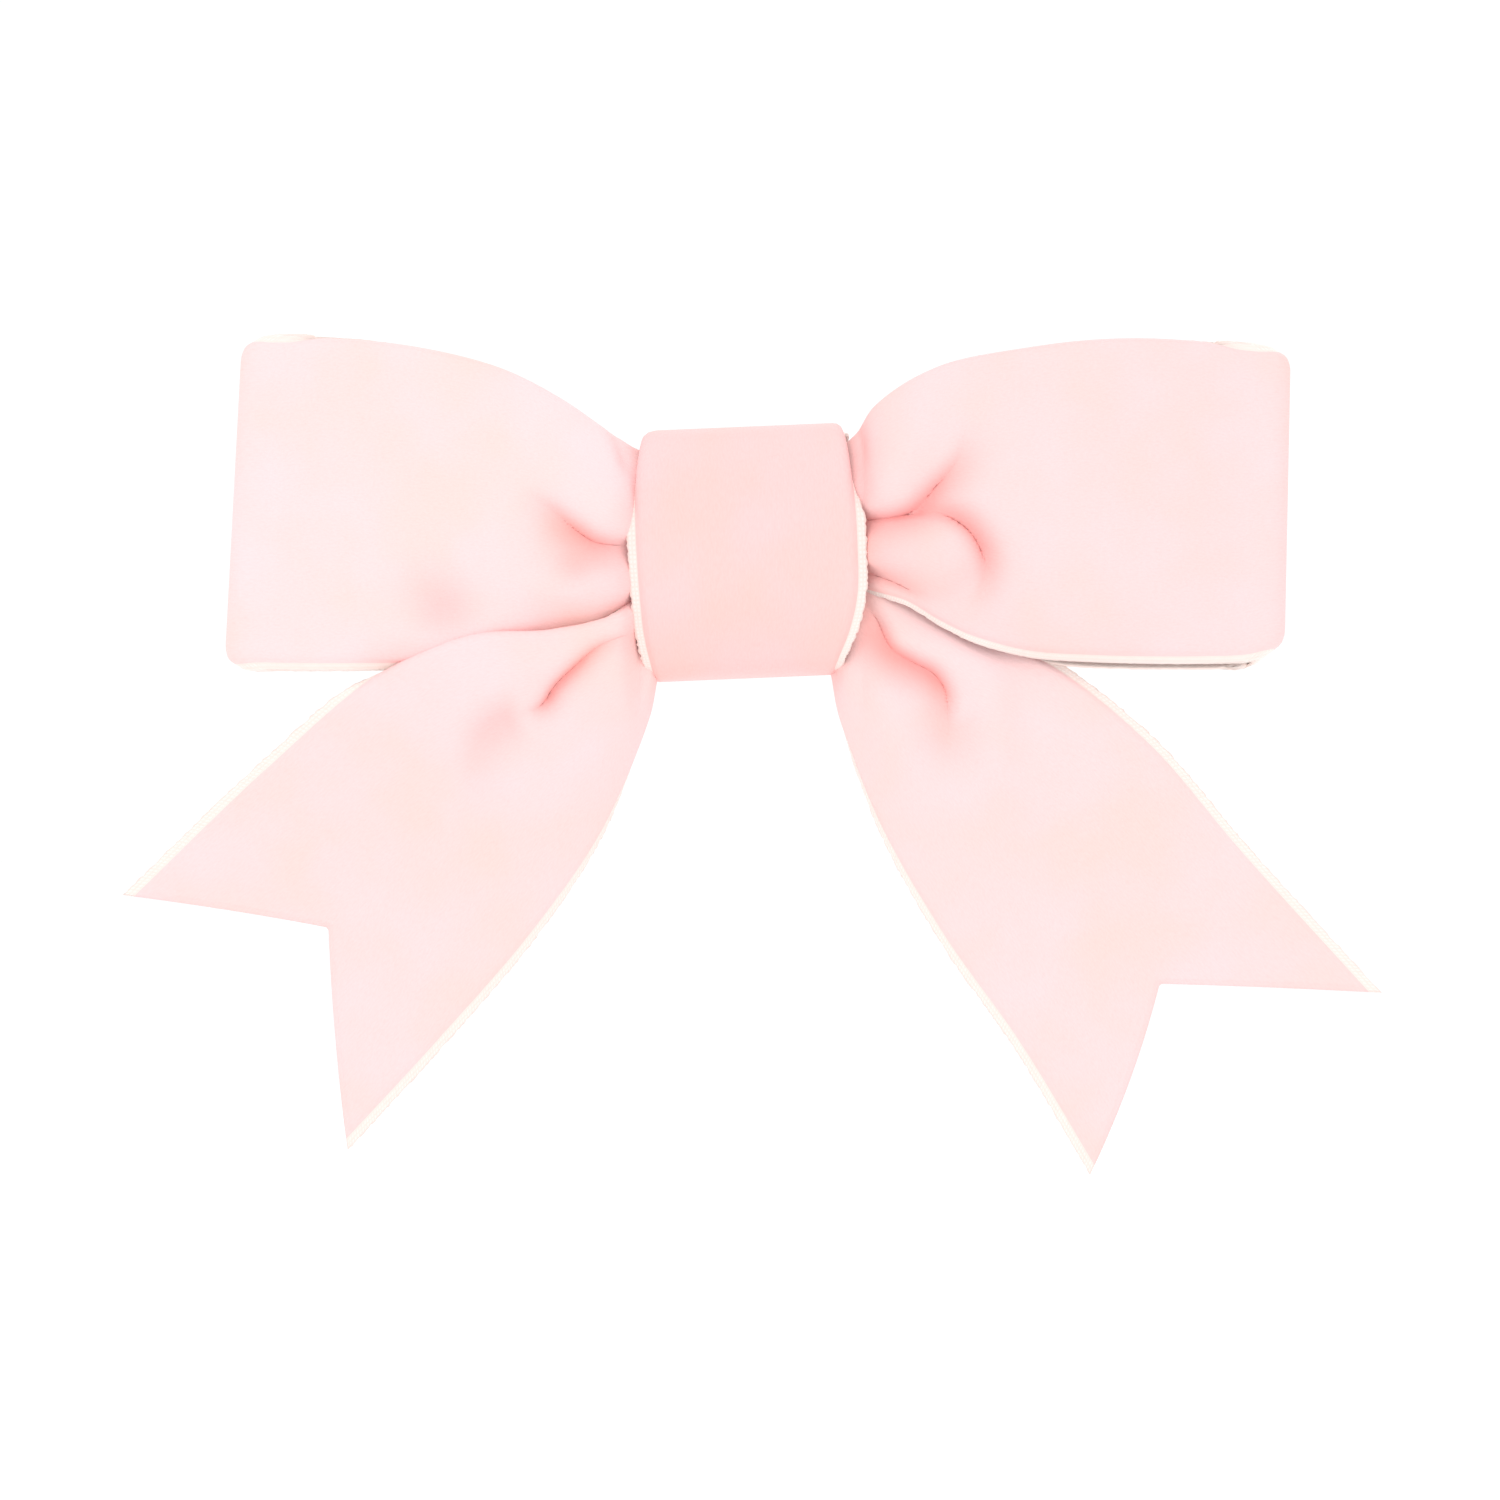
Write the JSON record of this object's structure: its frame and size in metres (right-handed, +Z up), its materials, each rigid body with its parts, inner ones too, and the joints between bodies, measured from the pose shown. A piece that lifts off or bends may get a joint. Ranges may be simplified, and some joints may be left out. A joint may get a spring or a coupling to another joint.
{
  "type": "barrette",
  "caption": "Velvet ribbon bow with two loops, two notched tails and a wrapped middle, on a steel French clip with a hinged arm and spring clasp.",
  "frame": {"origin": "centre of the hair channel, between the tension leaf and the closed arm, at the middle of the clip", "axes": "+X along the clip towards the clasp, +Y from the bow towards the head, +Z up"},
  "size_m": [0.1408, 0.028, 0.0944],
  "materials": {
    "ribbon_velvet": "blush pink cut-pile velvet with woven cream selvedges",
    "sewing_thread": "spun polyester sewing thread",
    "glue": "set hot-melt glue",
    "clip_steel": "nickel-plated pressed steel",
    "spring_steel": "nickel-plated spring steel"
  },
  "bodies": {
    "bow_and_plate": {"loop_ribbon": "ribbon_velvet", "tail_ribbon": "ribbon_velvet", "gather_thread": "sewing_thread", "glue_pads": "glue", "centre_wrap": "ribbon_velvet", "seam_stitches": "sewing_thread", "base_plate": "clip_steel", "hinge_pin": "clip_steel", "clasp_bracket": "clip_steel", "clasp_rivet": "clip_steel"},
    "closing_arm": {"closing_arm": "clip_steel"},
    "tension_leaf": {"tension_leaf": "spring_steel"},
    "clasp_wing_upper": {"clasp_wing_upper": "spring_steel"},
    "clasp_wing_lower": {"clasp_wing_lower": "spring_steel"}
  },
  "joints": [
    {"name": "arm_hinge", "type": "hinge", "parent": "bow_and_plate", "child": "closing_arm", "pos_m": [-0.0345, 0.0005, 0], "axis": [0, 0, 1], "range_deg": [0, 100]},
    {"name": "upper_wing_squeeze", "type": "hinge", "parent": "bow_and_plate", "child": "clasp_wing_upper", "pos_m": [0.0335, -0.00478, 0.0024], "axis": [-1, 0, 0], "range_deg": [0, 6], "stiffness_Nm_per_rad": 0.9},
    {"name": "lower_wing_squeeze", "type": "hinge", "parent": "bow_and_plate", "child": "clasp_wing_lower", "pos_m": [0.0335, -0.00478, -0.0024], "axis": [1, 0, 0], "range_deg": [0, 6]},
    {"name": "leaf_press", "type": "slide", "parent": "bow_and_plate", "child": "tension_leaf", "axis": [0, 1, 0], "range_m": [-0.0008, 0], "stiffness_N_per_m": 1500}
  ],
  "couplings": [
    {"joint": "lower_wing_squeeze", "follows": "upper_wing_squeeze", "ratio": 1}
  ]
}
